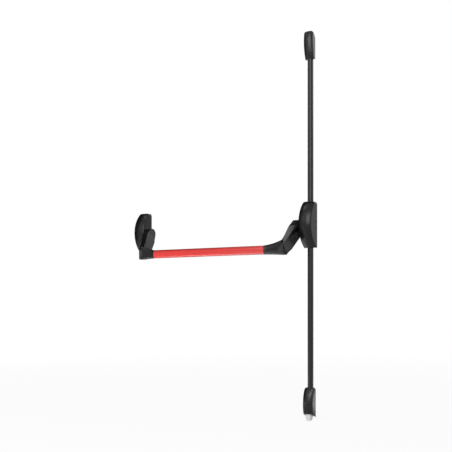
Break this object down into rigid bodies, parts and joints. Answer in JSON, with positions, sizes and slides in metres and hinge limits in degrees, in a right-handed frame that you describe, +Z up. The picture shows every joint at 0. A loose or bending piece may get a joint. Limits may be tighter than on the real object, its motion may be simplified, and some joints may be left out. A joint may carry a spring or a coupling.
{
  "type": "panic bar",
  "caption": "Push-bar emergency exit device: two arched housings and cranked arms carry an oval bar that works vertical rods and bolts at the door's head and foot.",
  "frame": {"origin": "centre of the drive unit's door-side plate face, on the door's surface", "axes": "+Z up the door, +Y into the door, +X towards the lock edge of the door; the push bar runs along -X"},
  "size_m": [1.0756, 0.1511, 1.862],
  "materials": {
    "black_moulding": "satin black moulding with a fine grain",
    "black_arm": "die-cast alloy with a satin black powder coat",
    "red_tube": "steel tube with a glossy red coat",
    "zinc_plate": "pressed steel, zinc plated",
    "bright_steel": "turned steel, bright",
    "grey_bolt": "pale grey cast metal, satin",
    "bush_brass": "turned brass",
    "black_screw": "blackened steel",
    "guide_plastic": "dull black moulding"
  },
  "bodies": {
    "fixed_frame": {"drive_base_plate": "zinc_plate", "drive_cover": "black_moulding", "drive_shaft_bushes": "bush_brass", "drive_cover_screws": "black_screw", "pinion_pin": "bright_steel", "drive_return_spring": "bright_steel", "support_base_plate": "zinc_plate", "support_cover": "black_moulding", "support_shaft_bushes": "bush_brass", "support_cover_screws": "black_screw", "support_return_spring": "bright_steel", "upper_rod_cover": "black_moulding", "lower_rod_cover": "black_moulding", "upper_rod_guide": "guide_plastic", "lower_rod_guide": "guide_plastic", "top_latch_base": "zinc_plate", "top_latch_cover": "black_moulding", "bottom_latch_base": "zinc_plate", "bottom_latch_cover": "black_moulding", "latch_cover_screws": "black_screw"},
    "push_bar_assembly": {"push_bar": "red_tube", "bar_screws": "black_screw", "drive_arm": "black_arm", "support_arm": "black_arm", "drive_shaft": "bright_steel", "support_shaft": "bright_steel", "gear_sector": "bright_steel", "drive_hub_screw": "black_screw", "support_hub_screw": "black_screw"},
    "lower_bolt_work": {"lower_slide": "zinc_plate", "lower_lock_nut": "zinc_plate", "lower_rod": "bright_steel", "bottom_bolt": "grey_bolt"},
    "upper_bolt_work": {"upper_slide": "zinc_plate", "upper_lock_nut": "zinc_plate", "upper_rod": "bright_steel", "top_bolt": "bright_steel"},
    "reversing_pinion_body": {"reversing_pinion": "bright_steel"}
  },
  "joints": [
    {"name": "bar_hinge", "type": "hinge", "parent": "fixed_frame", "child": "push_bar_assembly", "pos_m": [0, -0.03975, -0.003], "axis": [1, 0, 0], "range_deg": [0, 30], "stiffness_Nm_per_rad": 5, "springref_deg": -57.3},
    {"name": "lower_rod_slide", "type": "slide", "parent": "fixed_frame", "child": "lower_bolt_work", "axis": [0, 0, 1], "range_m": [0, 0.0138]},
    {"name": "upper_rod_slide", "type": "slide", "parent": "fixed_frame", "child": "upper_bolt_work", "axis": [0, 0, -1], "range_m": [0, 0.0138]},
    {"name": "pinion_spin", "type": "hinge", "parent": "fixed_frame", "child": "reversing_pinion_body", "pos_m": [0, -0.008, 0.03], "axis": [0, 1, 0], "range_deg": [0, 75.5]}
  ],
  "couplings": [
    {"joint": "lower_rod_slide", "follows": "bar_hinge", "m_per_rad": 0.02625},
    {"joint": "upper_rod_slide", "follows": "bar_hinge", "m_per_rad": 0.02625},
    {"joint": "pinion_spin", "follows": "bar_hinge", "ratio": 2.5}
  ]
}
